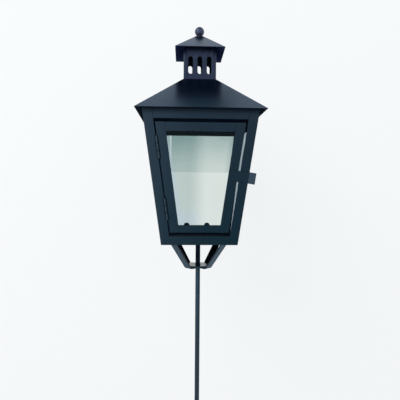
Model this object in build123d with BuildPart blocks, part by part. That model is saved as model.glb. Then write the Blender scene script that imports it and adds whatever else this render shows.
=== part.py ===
from build123d import *
import os
from math import atan, cos, radians, sin, sqrt, tan

os.makedirs("parts", exist_ok=True)

# A glazed garden lantern of black sheet steel on a ground stake. Millimetres and degrees.
# The origin is on the stake's axis at the ground line, +Z is up and the door faces -Y.

# Stake: a round rod with a ground point, and a spigot that goes up into the bracket
STAKE_DIAMETER = 8.0
STAKE_BURIED = 200.0  # point to ground line
STAKE_STANDING = 500.0  # ground line to the underside of the collar
STAKE_POINT_LENGTH = 30.0
STAKE_POINT_DIAMETER = 1.5
SPIGOT_DIAMETER = 5.0
SPIGOT_LENGTH = 30.0
SPIGOT_CLEARANCE = 0.05

# Bracket: four bent straps on the corners, from a collar plate up to the floor of the body
STRAP_WIDTH = 14.7
STRAP_THICKNESS = 2.0
STRAP_DROP = 44.0  # lower edge of the body to the underside of the collar
STRAP_LOW_RADIUS = 23.0  # lower bend, from the axis along the diagonal
STRAP_CORNER_SETBACK = 25.7  # upper bend, from the body's corner along the diagonal
STRAP_LOW_FOOT = 12.0
STRAP_HIGH_FOOT = 14.0
STRAP_BEND_RADIUS = 4.0
COLLAR_WIDTH = 36.0
COLLAR_THICKNESS = 2.5
COLLAR_STRAP_CLEARANCE = 0.3

# Body: a square frame of flat strips that widens upwards. Heights are above its lower edge.
BODY_LOW_WIDTH = 120.0
BODY_EAVE_WIDTH = 175.2
EAVE_HEIGHT = 206.6
STRIP_WIDTH = 14.5
STRIP_THICKNESS = 1.5
LOW_RAIL_HEIGHT = 13.9
TOP_RAIL_DROP = 14.6  # below the eave, over the door
SIDE_TOP_RAIL_DROP = 18.0  # below the eave, over the fixed panes
FLOOR_HEIGHT = 2.5
FLOOR_THICKNESS = 1.5
WELD_GAP = 0.1

# Glass: flat panes behind the strips, held by bent clips
GLASS_THICKNESS = 2.0
GLASS_LAP = 4.0
GLASS_CLEARANCE = 0.1
CLIP_WIDTH = 9.0
CLIP_THICKNESS = 1.0
CLIP_END_FLAT = 0.3
CLIP_FOOT = 3.5
CLIP_LOW_SHOW = 3.4  # past the strip's edge, at the foot of the glass
CLIP_TOP_SETBACK = 1.0  # short of the strip's edge, at the top of the glass
CLIP_SPACING = 31.5
DOOR_CLIP_OFFSET = -4.4

# Roof, cupola and cap
ROOF_WIDTH = 196.0
ROOF_PITCH = 40.0
ROOF_SHEET = 1.2
CUPOLA_WIDTH = 53.0
CUPOLA_SHEET = 1.2
CUPOLA_EXPOSED = 48.0  # from the roof to the level of the cap's eave
CUPOLA_TAIL = 6.0  # below the roof, inside it
VENT_HEIGHT = 28.0
VENT_WIDTH = 7.5
VENT_SPACING = 15.1
VENT_SILL = 8.3  # above the roof
VENTS_PER_SIDE = 3
CAP_WIDTH = 80.6
CAP_PITCH = 40.0
CAP_SHEET = 1.2
CAP_LAND_WIDTH = 11.4

# Finial: a ball on a stud, fastened under the cap
BALL_DIAMETER = 16.0
BALL_FLATS = 24  # narrow turned bands, counted all the way round the outline
BALL_NECK_DIAMETER = 7.0
BALL_NECK_HEIGHT = 0.9
STUD_DIAMETER = 4.0
STUD_LENGTH = 8.0
STUD_CLEARANCE = 0.2
WASHER_DIAMETER = 9.0
WASHER_THICKNESS = 0.8
NUT_ACROSS_FLATS = 7.0
NUT_THICKNESS = 3.2
NUT_CLEARANCE = 0.05

# Door: a frame of the same strip, hung on the left, with a latch strip on the right
DOOR_GAP_HINGE = 2.2
DOOR_GAP_LATCH = 3.0
DOOR_GAP_TOP = 4.7
DOOR_GAP_LOW = 5.9
DOOR_PROUD = 0.3  # in front of the posts
DOOR_STILE_WIDTH = 14.5
DOOR_TOP_RAIL = 13.8
DOOR_LOW_RAIL = 11.8
LATCH_RISE = 4.0  # above the middle of the door
LATCH_HEIGHT = 17.5
LATCH_THICKNESS = 1.0
LATCH_INSET = 1.0  # from the stile's inner edge
LATCH_TAB = 10.6
LATCH_TAB_ANGLE = 25.0
LATCH_BEND_RADIUS = 2.0

# Hinges: three knuckles each, standing in front of the gap, with leaves behind the strips
HINGE_SETBACK = 37.3  # from each end of the door to the middle of a hinge
HINGE_LENGTH = 34.0
HINGE_AXIS_PROUD = 2.4
KNUCKLE_DIAMETER = 4.0
KNUCKLE_GAP = 0.3
PIN_DIAMETER = 2.0
PIN_CLEARANCE = 0.05
PIN_END_CLEARANCE = 0.05
PIN_HEAD_DIAMETER = 3.2
PIN_HEAD_HEIGHT = 0.7
LEAF_THICKNESS = 0.8
LEAF_WIDTH = 8.0
LEAF_CLEARANCE = 0.15

# Angles at which a piece made for the front, or for the front left corner, is repeated
SIDES = {"front": 0, "right": 90, "rear": 180, "left": 270}
CORNERS = {"front_left": 0, "front_right": 90, "rear_right": 180, "rear_left": 270}

# Heights that follow from the sizes
taper = (BODY_EAVE_WIDTH - BODY_LOW_WIDTH) / 2 / EAVE_HEIGHT
lean = atan(taper)
body_z = STAKE_STANDING + STRAP_DROP
roof_slope = tan(radians(ROOF_PITCH))
roof_depth = ROOF_SHEET / cos(radians(ROOF_PITCH))
cap_slope = tan(radians(CAP_PITCH))
cap_depth = CAP_SHEET / cos(radians(CAP_PITCH))
roof_over_frame = EAVE_HEIGHT + (ROOF_WIDTH - BODY_LOW_WIDTH) / 2 * roof_slope - roof_depth
frame_top = roof_over_frame / (1 + taper * roof_slope) - WELD_GAP
top_rail_low = EAVE_HEIGHT - TOP_RAIL_DROP
side_rail_low = EAVE_HEIGHT - SIDE_TOP_RAIL_DROP
roof_hole = CUPOLA_WIDTH + 2 * WELD_GAP
roof_top = EAVE_HEIGHT + (ROOF_WIDTH - roof_hole) / 2 * roof_slope
cap_eave = roof_top + CUPOLA_EXPOSED
cap_land = cap_eave + (CAP_WIDTH - CAP_LAND_WIDTH) / 2 * cap_slope
cupola_top = cap_eave + (CAP_WIDTH - CUPOLA_WIDTH) / 2 * cap_slope - cap_depth - WELD_GAP
door_low = LOW_RAIL_HEIGHT + DOOR_GAP_LOW
door_top = top_rail_low - DOOR_GAP_TOP
window_low = door_low + DOOR_LOW_RAIL
window_top = door_top - DOOR_TOP_RAIL
pane_low = LOW_RAIL_HEIGHT - GLASS_LAP
pane_top = side_rail_low + GLASS_LAP
door_pane_low = window_low - GLASS_LAP
door_pane_top = window_top + GLASS_LAP


def half_width(height):
    """Half of the body's outer width at a height above its lower edge."""
    return BODY_LOW_WIDTH / 2 + taper * height


def level(height, turn=0):
    """The horizontal plane at a height above the body's lower edge, turned about the axis."""
    return Plane.XY.offset(body_z + height).rotated((0, 0, turn))


def face_plane(height=0.0, across=0.0, turn=0):
    """A plane in the outer face of one side: x across it, y up the slope and z outwards."""
    origin = Vector(across, -half_width(height), body_z + height)
    outwards = Vector(0, -cos(lean), -sin(lean))
    return Plane(
        origin=origin.rotate(Axis.Z, turn),
        x_dir=Vector(1, 0, 0).rotate(Axis.Z, turn),
        z_dir=outwards.rotate(Axis.Z, turn),
    )


def face_corners(low, top, left, right):
    """The corners of a flat piece between two heights and two edges, in the plane of its side."""
    corners = (left, low), (right, low), (right, top), (left, top)
    return [(edge(height), height / cos(lean)) for edge, height in corners]


def opening_right(height):
    """The x of the right edge of the opening between two posts at a height."""
    return half_width(height) - STRIP_WIDTH


def opening_left(height):
    """The x of the left edge of the opening between two posts at a height."""
    return -opening_right(height)


def pane_right(height):
    """The x of the right edge of a side pane at a height."""
    return opening_right(height) + GLASS_LAP


def pane_left(height):
    """The x of the left edge of a side pane at a height."""
    return -pane_right(height)


def door_left(height):
    """The x of the door's hinge edge at a height."""
    return opening_left(height) + DOOR_GAP_HINGE


def door_right(height):
    """The x of the door's latch edge at a height."""
    return opening_right(height) - DOOR_GAP_LATCH


def window_left(height):
    """The x of the left edge of the door's window at a height."""
    return door_left(height) + DOOR_STILE_WIDTH


def window_right(height):
    """The x of the right edge of the door's window at a height."""
    return door_right(height) - DOOR_STILE_WIDTH


def door_pane_left(height):
    """The x of the left edge of the door's pane at a height."""
    return window_left(height) - GLASS_LAP


def door_pane_right(height):
    """The x of the right edge of the door's pane at a height."""
    return window_right(height) + GLASS_LAP


# Stake
with BuildPart() as stake:
    with BuildSketch(Plane.XZ):
        with BuildLine():
            Polyline(
                (0, -STAKE_BURIED),
                (STAKE_POINT_DIAMETER / 2, -STAKE_BURIED),
                (STAKE_DIAMETER / 2, STAKE_POINT_LENGTH - STAKE_BURIED),
                (STAKE_DIAMETER / 2, STAKE_STANDING),
                (SPIGOT_DIAMETER / 2, STAKE_STANDING),
                (SPIGOT_DIAMETER / 2, STAKE_STANDING + SPIGOT_LENGTH),
                (0, STAKE_STANDING + SPIGOT_LENGTH),
                close=True,
            )
        make_face()
    revolve(axis=Axis.Z)
stake.part.label = "stake"
export_step(stake.part, "parts/stake.step")

# Stem: the tube that carries the stake on from the collar to the floor
spigot_bore = SPIGOT_DIAMETER / 2 + SPIGOT_CLEARANCE
with BuildPart() as stake_stem:
    with BuildSketch(Plane.XY.offset(STAKE_STANDING + COLLAR_THICKNESS)):
        Circle(STAKE_DIAMETER / 2)
        Circle(spigot_bore, mode=Mode.SUBTRACT)
    extrude(amount=STRAP_DROP - COLLAR_THICKNESS + FLOOR_HEIGHT)
stake_stem.part.label = "stake_stem"
export_step(stake_stem.part, "parts/stake_stem.step")

# Collar: a square plate whose corners are cut off to clear the bends of the straps
low_foot_z = STAKE_STANDING - STRAP_THICKNESS / 2
high_foot_z = body_z + FLOOR_HEIGHT - STRAP_THICKNESS / 2
strap_high_radius = half_width(0) * sqrt(2) - STRAP_CORNER_SETBACK
strap_turn = atan((high_foot_z - low_foot_z) / (strap_high_radius - STRAP_LOW_RADIUS))
strap_bend_start = STRAP_LOW_RADIUS - STRAP_BEND_RADIUS * tan(strap_turn / 2)
collar_corner = strap_bend_start - COLLAR_STRAP_CLEARANCE
with BuildPart() as strap_collar:
    with BuildSketch(Plane.XY.offset(STAKE_STANDING)):
        Rectangle(COLLAR_WIDTH, COLLAR_WIDTH)
        Rectangle(2 * collar_corner, 2 * collar_corner, rotation=45, mode=Mode.INTERSECT)
        Circle(spigot_bore, mode=Mode.SUBTRACT)
    extrude(amount=COLLAR_THICKNESS)
strap_collar.part.label = "strap_collar"
export_step(strap_collar.part, "parts/strap_collar.step")

# Straps: a foot under the collar, a sloping leg, and a foot under the floor
for corner, turn in CORNERS.items():
    diagonal = Vector(-1, -1, 0).rotate(Axis.Z, turn)
    with BuildPart() as strap:
        with BuildSketch(Plane(origin=(0, 0, 0), x_dir=diagonal, z_dir=diagonal.cross(Vector(0, 0, 1)))):
            with BuildLine():
                FilletPolyline(
                    (STRAP_LOW_RADIUS - STRAP_LOW_FOOT, low_foot_z),
                    (STRAP_LOW_RADIUS, low_foot_z),
                    (strap_high_radius, high_foot_z),
                    (strap_high_radius + STRAP_HIGH_FOOT, high_foot_z),
                    radius=STRAP_BEND_RADIUS,
                )
            trace(line_width=STRAP_THICKNESS)
        extrude(amount=STRAP_WIDTH / 2, both=True)
    strap.part.label = f"strap_{corner}"
    export_step(strap.part, f"parts/strap_{corner}.step")

# Posts: angle strips on the four corners, which lean outwards
post_outer = -half_width(0)
post_inner = post_outer + STRIP_THICKNESS / cos(lean)
post_edge = post_outer + STRIP_WIDTH
post_length = frame_top * sqrt(1 + 2 * taper**2)
for corner, turn in CORNERS.items():
    with BuildPart() as post:
        with BuildSketch(level(0, turn)):
            with BuildLine():
                Polyline(
                    (post_outer, post_outer),
                    (post_edge, post_outer),
                    (post_edge, post_inner),
                    (post_inner, post_inner),
                    (post_inner, post_edge),
                    (post_outer, post_edge),
                    close=True,
                )
            make_face()
        extrude(amount=post_length, dir=Vector(-taper, -taper, 1).rotate(Axis.Z, turn))
    post.part.label = f"post_{corner}"
    export_step(post.part, f"parts/post_{corner}.step")

# Rails: flat strips between the posts, at the bottom and under the roof
for side, turn in SIDES.items():
    top_low = top_rail_low if side == "front" else side_rail_low
    rail_spans = {"bottom_rail": (0, LOW_RAIL_HEIGHT), "top_rail": (top_low, frame_top)}
    for rail_name, (low, top) in rail_spans.items():
        with BuildPart() as rail:
            with BuildSketch(face_plane(turn=turn)):
                with BuildLine():
                    Polyline(*face_corners(low, top, opening_left, opening_right), close=True)
                make_face()
            extrude(amount=-STRIP_THICKNESS)
        rail.part.label = f"{rail_name}_{side}"
        export_step(rail.part, f"parts/{rail_name}_{side}.step")

# Floor: a plate inside the bottom rails, on the upper feet of the straps
floor_width = 2 * (half_width(FLOOR_HEIGHT) - STRIP_THICKNESS / cos(lean) - WELD_GAP)
with BuildPart() as floor_plate:
    with BuildSketch(level(FLOOR_HEIGHT)):
        Rectangle(floor_width, floor_width)
    extrude(amount=FLOOR_THICKNESS)
floor_plate.part.label = "floor_plate"
export_step(floor_plate.part, "parts/floor_plate.step")

# Side panes: glass against the inner faces of the posts and rails
for side in ("left", "right", "rear"):
    with BuildPart() as pane:
        with BuildSketch(face_plane(turn=SIDES[side]).offset(-STRIP_THICKNESS)):
            with BuildLine():
                Polyline(*face_corners(pane_low, pane_top, pane_left, pane_right), close=True)
            make_face()
        extrude(amount=-GLASS_THICKNESS)
    pane.part.label = f"pane_{side}"
    export_step(pane.part, f"parts/pane_{side}.step")

# Glass clips: a foot on the rail, a step past the edge of the glass, and a rounded tab behind it
door_back = STRIP_THICKNESS - DOOR_PROUD
clip_low_reach = GLASS_LAP + CLIP_LOW_SHOW
clip_top_reach = GLASS_LAP - CLIP_TOP_SETBACK
clip_step = GLASS_CLEARANCE + CLIP_THICKNESS
clip_sets = {
    "pane_clips_left": (pane_low, pane_top, 0, STRIP_THICKNESS, SIDES["left"]),
    "pane_clips_right": (pane_low, pane_top, 0, STRIP_THICKNESS, SIDES["right"]),
    "pane_clips_rear": (pane_low, pane_top, 0, STRIP_THICKNESS, SIDES["rear"]),
    "door_pane_clips": (door_pane_low, door_pane_top, DOOR_CLIP_OFFSET, door_back, SIDES["front"]),
}
for clip_name, (low_edge, top_edge, offset_x, back, turn) in clip_sets.items():
    with BuildPart() as clips:
        for across in (offset_x - CLIP_SPACING / 2, offset_x + CLIP_SPACING / 2):
            low_seat = face_plane(low_edge, across, turn)
            top_face = face_plane(top_edge, across, turn)
            top_seat = Plane(origin=top_face.origin, x_dir=-top_face.x_dir, z_dir=top_face.z_dir)
            for seat, reach in ((low_seat, clip_low_reach), (top_seat, clip_top_reach)):
                with BuildSketch(seat.offset(-back)):
                    with Locations((0, -GLASS_CLEARANCE)):
                        Rectangle(CLIP_WIDTH, CLIP_FOOT, align=(Align.CENTER, Align.MAX))
                extrude(amount=-CLIP_THICKNESS)
                with BuildSketch(seat.offset(-back)):
                    with Locations((0, -GLASS_CLEARANCE)):
                        Rectangle(CLIP_WIDTH, CLIP_THICKNESS, align=(Align.CENTER, Align.MAX))
                extrude(amount=-GLASS_THICKNESS - clip_step)
                with BuildSketch(seat.offset(-back - GLASS_THICKNESS - GLASS_CLEARANCE)) as tab:
                    with Locations((0, -clip_step)):
                        Rectangle(CLIP_WIDTH, reach + clip_step, align=(Align.CENTER, Align.MIN))
                    round_end = min((CLIP_WIDTH - CLIP_END_FLAT) / 2, reach)
                    fillet(tab.vertices().group_by(Axis.Y)[-1], radius=round_end)
                extrude(amount=-CLIP_THICKNESS)
    clips.part.label = clip_name
    export_step(clips.part, f"parts/{clip_name}.step")

# Roof: a hipped sheet with a square hole for the cupola
under_eave = ROOF_WIDTH - 2 * roof_depth / roof_slope
with BuildPart() as roof:
    with BuildSketch(level(EAVE_HEIGHT)):
        Rectangle(ROOF_WIDTH, ROOF_WIDTH)
    extrude(amount=roof_top - EAVE_HEIGHT, taper=90 - ROOF_PITCH)
    with BuildSketch(level(EAVE_HEIGHT)):
        Rectangle(under_eave, under_eave)
    extrude(amount=roof_top - roof_depth - EAVE_HEIGHT, taper=90 - ROOF_PITCH, mode=Mode.SUBTRACT)
    with BuildSketch(level(EAVE_HEIGHT)):
        Rectangle(roof_hole, roof_hole)
    extrude(amount=roof_top - EAVE_HEIGHT, mode=Mode.SUBTRACT)
roof.part.label = "roof"
export_step(roof.part, "parts/roof.step")

# Cupola: a square chimney through the roof, with a row of round-ended vents on each side
vent_centre = body_z + roof_top + VENT_SILL + VENT_HEIGHT / 2
with BuildPart() as cupola:
    with BuildSketch(level(roof_top - CUPOLA_TAIL)):
        Rectangle(CUPOLA_WIDTH, CUPOLA_WIDTH)
        Rectangle(CUPOLA_WIDTH - 2 * CUPOLA_SHEET, CUPOLA_WIDTH - 2 * CUPOLA_SHEET, mode=Mode.SUBTRACT)
    extrude(amount=cupola_top - roof_top + CUPOLA_TAIL)
    for vent_plane in (Plane.XZ, Plane.YZ):
        with BuildSketch(vent_plane):
            with Locations((0, vent_centre)):
                with GridLocations(VENT_SPACING, 0, VENTS_PER_SIDE, 1):
                    SlotOverall(VENT_HEIGHT, VENT_WIDTH, rotation=90)
        extrude(amount=CUPOLA_WIDTH, both=True, mode=Mode.SUBTRACT)
cupola.part.label = "cupola"
export_step(cupola.part, "parts/cupola.step")

# Cap: a hipped sheet over the cupola, with a flat land for the finial
under_cap_eave = CAP_WIDTH - 2 * cap_depth / cap_slope
with BuildPart() as cupola_cap:
    with BuildSketch(level(cap_eave)):
        Rectangle(CAP_WIDTH, CAP_WIDTH)
    extrude(amount=cap_land - cap_eave, taper=90 - CAP_PITCH)
    with BuildSketch(level(cap_eave)):
        Rectangle(under_cap_eave, under_cap_eave)
    extrude(amount=cap_land - CAP_SHEET - cap_eave, taper=90 - CAP_PITCH, mode=Mode.SUBTRACT)
    with BuildSketch(level(cap_land)):
        Circle(STUD_DIAMETER / 2 + STUD_CLEARANCE)
    extrude(amount=-CAP_SHEET, mode=Mode.SUBTRACT)
cupola_cap.part.label = "cupola_cap"
export_step(cupola_cap.part, "parts/cupola_cap.step")

# Finial: the ball and its stud, then the washer and nut under the cap's land
land_z = body_z + cap_land
with BuildPart() as finial_ball:
    with BuildSketch(Plane.XZ):
        with Locations((0, land_z + BALL_NECK_HEIGHT + BALL_DIAMETER / 2)):
            RegularPolygon(BALL_DIAMETER / 2, BALL_FLATS)
            Rectangle(BALL_DIAMETER, BALL_DIAMETER, align=(Align.MAX, Align.CENTER), mode=Mode.SUBTRACT)
    revolve(axis=Axis.Z)
    with BuildSketch(Plane.XY.offset(land_z)):
        Circle(BALL_NECK_DIAMETER / 2)
    extrude(amount=BALL_NECK_HEIGHT + BALL_DIAMETER / 2)
    with BuildSketch(Plane.XY.offset(land_z)):
        Circle(STUD_DIAMETER / 2)
    extrude(amount=-STUD_LENGTH)
finial_ball.part.label = "finial_ball"
export_step(finial_ball.part, "parts/finial_ball.step")

with BuildPart() as finial_washer:
    with BuildSketch(Plane.XY.offset(land_z - CAP_SHEET)):
        Circle(WASHER_DIAMETER / 2)
        Circle(STUD_DIAMETER / 2 + STUD_CLEARANCE, mode=Mode.SUBTRACT)
    extrude(amount=-WASHER_THICKNESS)
finial_washer.part.label = "finial_washer"
export_step(finial_washer.part, "parts/finial_washer.step")

with BuildPart() as finial_nut:
    with BuildSketch(Plane.XY.offset(land_z - CAP_SHEET - WASHER_THICKNESS)):
        RegularPolygon(NUT_ACROSS_FLATS / 2, 6, major_radius=False)
        Circle(STUD_DIAMETER / 2 + NUT_CLEARANCE, mode=Mode.SUBTRACT)
    extrude(amount=-NUT_THICKNESS)
finial_nut.part.label = "finial_nut"
export_step(finial_nut.part, "parts/finial_nut.step")

# Door frame: two stiles of the door's full height, with the rails between them
door_strips = {
    "door_stile_left": (door_low, door_top, door_left, window_left),
    "door_stile_right": (door_low, door_top, window_right, door_right),
    "door_top_rail": (window_top, door_top, window_left, window_right),
    "door_bottom_rail": (door_low, window_low, window_left, window_right),
}
for strip_name, (low, top, left, right) in door_strips.items():
    with BuildPart() as door_strip:
        with BuildSketch(face_plane().offset(DOOR_PROUD)):
            with BuildLine():
                Polyline(*face_corners(low, top, left, right), close=True)
            make_face()
        extrude(amount=-STRIP_THICKNESS)
    door_strip.part.label = strip_name
    export_step(door_strip.part, f"parts/{strip_name}.step")

# Door pane: glass against the back of the door frame
with BuildPart() as door_pane:
    with BuildSketch(face_plane().offset(-door_back)):
        with BuildLine():
            Polyline(
                *face_corners(door_pane_low, door_pane_top, door_pane_left, door_pane_right),
                close=True,
            )
        make_face()
    extrude(amount=-GLASS_THICKNESS)
door_pane.part.label = "door_pane"
export_step(door_pane.part, "parts/door_pane.step")

# Latch: a strip square to the right stile that lies over the post and ends in a bent tab
stile_slant = atan(taper * cos(lean))
latch_height = (door_low + door_top) / 2 + LATCH_RISE
latch_face = face_plane(latch_height, door_right(latch_height))
latch_along = latch_face.x_dir * cos(stile_slant) - latch_face.y_dir * sin(stile_slant)
latch_section = Plane(
    origin=latch_face.origin,
    x_dir=latch_along,
    z_dir=latch_along.cross(latch_face.z_dir),
)
latch_start = LATCH_INSET - DOOR_STILE_WIDTH * cos(stile_slant)
latch_bend = (DOOR_GAP_LATCH + STRIP_WIDTH) * cos(stile_slant)
latch_middle = DOOR_PROUD + LATCH_THICKNESS / 2
tab_angle = radians(LATCH_TAB_ANGLE)
with BuildPart() as latch_strip:
    with BuildSketch(latch_section):
        with BuildLine():
            FilletPolyline(
                (latch_start, latch_middle),
                (latch_bend, latch_middle),
                (latch_bend + LATCH_TAB * cos(tab_angle), latch_middle + LATCH_TAB * sin(tab_angle)),
                radius=LATCH_BEND_RADIUS,
            )
        trace(line_width=LATCH_THICKNESS)
    extrude(amount=LATCH_HEIGHT / 2, both=True)
latch_strip.part.label = "latch_strip"
export_step(latch_strip.part, "parts/latch_strip.step")

# Hinges: the axis runs up the middle of the hinge gap, in front of the body, and leans with the post
hinge_axis = Vector(-taper, -taper, 1).normalized()
knuckle = KNUCKLE_DIAMETER / 2
pin_bore = PIN_DIAMETER / 2 + PIN_CLEARANCE
tail_start = (pin_bore + knuckle) / 2
tail_edge = DOOR_GAP_HINGE / 2 * sqrt(1 - hinge_axis.X**2) - LEAF_CLEARANCE
middle_half = HINGE_LENGTH / 6 - KNUCKLE_GAP / 2
end_knuckle = HINGE_LENGTH / 3 - KNUCKLE_GAP / 2
hinge_heights = {"upper": door_top - HINGE_SETBACK, "lower": door_low + HINGE_SETBACK}
for hinge, height in hinge_heights.items():
    hinge_point = Vector(
        door_left(height) - DOOR_GAP_HINGE / 2,
        -half_width(height) - HINGE_AXIS_PROUD / cos(lean),
        body_z + height,
    )
    hinge_plane = Plane(
        origin=hinge_point,
        x_dir=Vector(1, 0, 0) - hinge_axis * hinge_axis.X,
        z_dir=hinge_axis,
    )
    leaves = {
        "hinge_frame_leaf": (-1, HINGE_AXIS_PROUD, ((-HINGE_LENGTH / 2, end_knuckle),
                                                    (HINGE_LENGTH / 2 - end_knuckle, end_knuckle))),
        "hinge_door_leaf": (1, HINGE_AXIS_PROUD - DOOR_PROUD, ((-middle_half, 2 * middle_half),)),
    }
    for leaf_name, (hand, face_depth, knuckles) in leaves.items():
        leaf_back = face_depth + STRIP_THICKNESS
        with BuildPart() as leaf:
            for start, length in knuckles:
                with BuildSketch(hinge_plane.offset(start)):
                    Circle(knuckle)
                    with Locations((hand * (tail_edge - LEAF_THICKNESS / 2), tail_start)):
                        Rectangle(
                            LEAF_THICKNESS,
                            leaf_back + LEAF_THICKNESS - tail_start,
                            align=(Align.CENTER, Align.MIN),
                        )
                    Circle(pin_bore, mode=Mode.SUBTRACT)
                extrude(amount=length)
            with BuildSketch(hinge_plane.offset(-HINGE_LENGTH / 2)):
                with Locations((hand * (tail_edge - LEAF_THICKNESS + LEAF_WIDTH / 2), leaf_back)):
                    Rectangle(LEAF_WIDTH, LEAF_THICKNESS, align=(Align.CENTER, Align.MIN))
            extrude(amount=HINGE_LENGTH)
        leaf.part.label = f"{leaf_name}_{hinge}"
        export_step(leaf.part, f"parts/{leaf_name}_{hinge}.step")

    head_start = HINGE_LENGTH / 2 + PIN_END_CLEARANCE
    with BuildPart() as pin:
        with BuildSketch(hinge_plane.offset(-head_start)):
            Circle(PIN_DIAMETER / 2)
        extrude(amount=2 * head_start)
        with BuildSketch(hinge_plane.offset(head_start)):
            Circle(PIN_HEAD_DIAMETER / 2)
        extrude(amount=PIN_HEAD_HEIGHT)
        with BuildSketch(hinge_plane.offset(-head_start)):
            Circle(PIN_HEAD_DIAMETER / 2)
        extrude(amount=-PIN_HEAD_HEIGHT)
    pin.part.label = f"hinge_pin_{hinge}"
    export_step(pin.part, f"parts/hinge_pin_{hinge}.step")
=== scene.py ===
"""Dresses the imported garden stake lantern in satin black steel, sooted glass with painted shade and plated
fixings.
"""

import logging
from dataclasses import dataclass
from enum import Enum
from math import atan, cos, pi, radians, sin
from typing import Any

import bmesh
import bpy
from bmesh.types import BMesh
from bpy.types import ID, Material, Mesh, NodeSocket, NodeTree, Object, World
from mathutils import Matrix, Quaternion, Vector


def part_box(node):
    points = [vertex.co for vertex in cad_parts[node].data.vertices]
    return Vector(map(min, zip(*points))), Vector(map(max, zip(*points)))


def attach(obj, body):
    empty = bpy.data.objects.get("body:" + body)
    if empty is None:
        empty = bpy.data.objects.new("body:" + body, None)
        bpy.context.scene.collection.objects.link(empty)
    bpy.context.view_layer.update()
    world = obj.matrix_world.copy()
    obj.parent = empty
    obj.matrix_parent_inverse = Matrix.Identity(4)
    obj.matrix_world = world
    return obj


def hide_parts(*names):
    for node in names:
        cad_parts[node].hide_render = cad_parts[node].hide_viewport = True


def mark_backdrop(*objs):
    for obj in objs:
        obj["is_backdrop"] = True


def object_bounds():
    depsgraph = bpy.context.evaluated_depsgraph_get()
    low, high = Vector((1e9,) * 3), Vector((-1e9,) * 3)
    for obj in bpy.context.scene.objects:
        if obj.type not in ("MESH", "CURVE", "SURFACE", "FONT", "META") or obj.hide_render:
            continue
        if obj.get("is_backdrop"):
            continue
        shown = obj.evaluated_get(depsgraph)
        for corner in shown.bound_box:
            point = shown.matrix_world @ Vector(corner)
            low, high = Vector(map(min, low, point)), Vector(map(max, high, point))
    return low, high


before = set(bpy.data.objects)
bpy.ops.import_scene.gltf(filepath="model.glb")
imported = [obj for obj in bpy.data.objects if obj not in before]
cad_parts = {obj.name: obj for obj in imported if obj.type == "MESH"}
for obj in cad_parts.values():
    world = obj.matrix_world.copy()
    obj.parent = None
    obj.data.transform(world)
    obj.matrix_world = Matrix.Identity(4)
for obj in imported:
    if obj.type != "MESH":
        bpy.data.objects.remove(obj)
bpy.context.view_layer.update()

LOG = logging.getLogger("lantern")
RIM = "rim"
WELD_DISTANCE = 1e-6
FLAT_ANGLE = radians(0.2)
SHARP_ANGLE = radians(28.0)
PHOTO_PIXELS = 400
SENSOR_WIDTH = 36.0
NOISE_MIDDLE = 0.5
WHITE = (1.0, 1.0, 1.0)
CORNERS = ("front_left", "front_right", "rear_right", "rear_left")
# A face that turns further than this downwards or towards the axis takes the dull dark finish: painted shade
# on the undersides, soot on the inner faces.
INWARD = -0.3
# How far the body's slanted edges move outwards for each metre of height.
EDGE_LEAN = 0.1336

Colour = tuple[float, float, float]
Point = tuple[float, float, float]
Span = tuple[float, float]
Labels = tuple[str, ...]
Ribs = list[tuple[Vector, Vector, float]]
Spots = list[tuple[Matrix, bool]]


class Body(Enum):
    """The two bodies of the part: all that stands still, and the door."""

    LANTERN = "lantern"
    DOOR = "door"


class Slot(Enum):
    """The record's material slots."""

    STEEL = "black_steel"
    GLASS = "window_glass"
    PLATED = "plated_steel"


class Side(Enum):
    """The turn about the axis, in degrees, that takes the front side to each side."""

    FRONT = 0
    RIGHT = 90
    REAR = 180
    LEFT = 270


class Signal:
    """A node's output socket that takes part in Python arithmetic by adding Math nodes."""

    def __init__(self, graph: "Graph", socket: NodeSocket | None) -> None:
        """Keep the socket and the graph that it belongs to."""
        self.graph = graph
        self.socket = socket

    def _math(self, operation: str, first: Any, second: Any) -> "Signal":
        """Add one Math node."""
        return self.graph.node("ShaderNodeMath", {"operation": operation}, {0: first, 1: second})

    def __add__(self, other: Any) -> "Signal":
        """This value plus another."""
        return self._math("ADD", self, other)

    def __radd__(self, other: Any) -> "Signal":
        """A number plus this value."""
        return self._math("ADD", other, self)

    def __sub__(self, other: Any) -> "Signal":
        """This value less another."""
        return self._math("SUBTRACT", self, other)

    def __rsub__(self, other: Any) -> "Signal":
        """A number less this value."""
        return self._math("SUBTRACT", other, self)

    def __mul__(self, other: Any) -> "Signal":
        """This value times another."""
        return self._math("MULTIPLY", self, other)

    def __rmul__(self, other: Any) -> "Signal":
        """A number times this value."""
        return self._math("MULTIPLY", other, self)

    def clamped(self) -> "Signal":
        """This value, kept between 0 and 1."""
        return self.graph.node("ShaderNodeClamp", None, {0: self})


class Graph:
    """A node tree, with one method that adds any node."""

    def __init__(self, tree: NodeTree) -> None:
        """Empty the tree and keep it."""
        self.tree = tree
        self.tree.nodes.clear()

    def node(
        self,
        kind: str,
        settings: dict[str, Any] | None = None,
        inputs: dict[str | int, Any] | None = None,
        output: str | int = 0,
    ) -> Signal:
        """Add a node.

        Args:
            kind: The node's type.
            settings: The node's own properties, which are set first.
            inputs: Values or signals for its input sockets, by name or place. A list feeds one
                socket that takes several links.
            output: The output socket to hand back, by name or place.

        Returns:
            That output as a signal. A closing node has none, so its signal is empty.
        """
        made = self.tree.nodes.new(kind)
        for name, value in (settings or {}).items():
            setattr(made, name, value)
        for key, value in (inputs or {}).items():
            self._feed(made.inputs[key], value)
        return Signal(self, made.outputs[output] if len(made.outputs) else None)

    def _feed(self, socket: NodeSocket, value: Any) -> None:
        """Link signals to an input socket, or set a plain value on the socket itself.

        Args:
            socket: The input socket.
            value: A signal, a list of signals, or a plain value.
        """
        if isinstance(value, list):
            for signal in reversed(value):
                self.tree.links.new(signal.socket, socket)
        elif isinstance(value, Signal):
            self.tree.links.new(value.socket, socket)
        elif socket.type == "RGBA":
            socket.default_value = (*value, 1.0)
        else:
            socket.default_value = value


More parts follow.
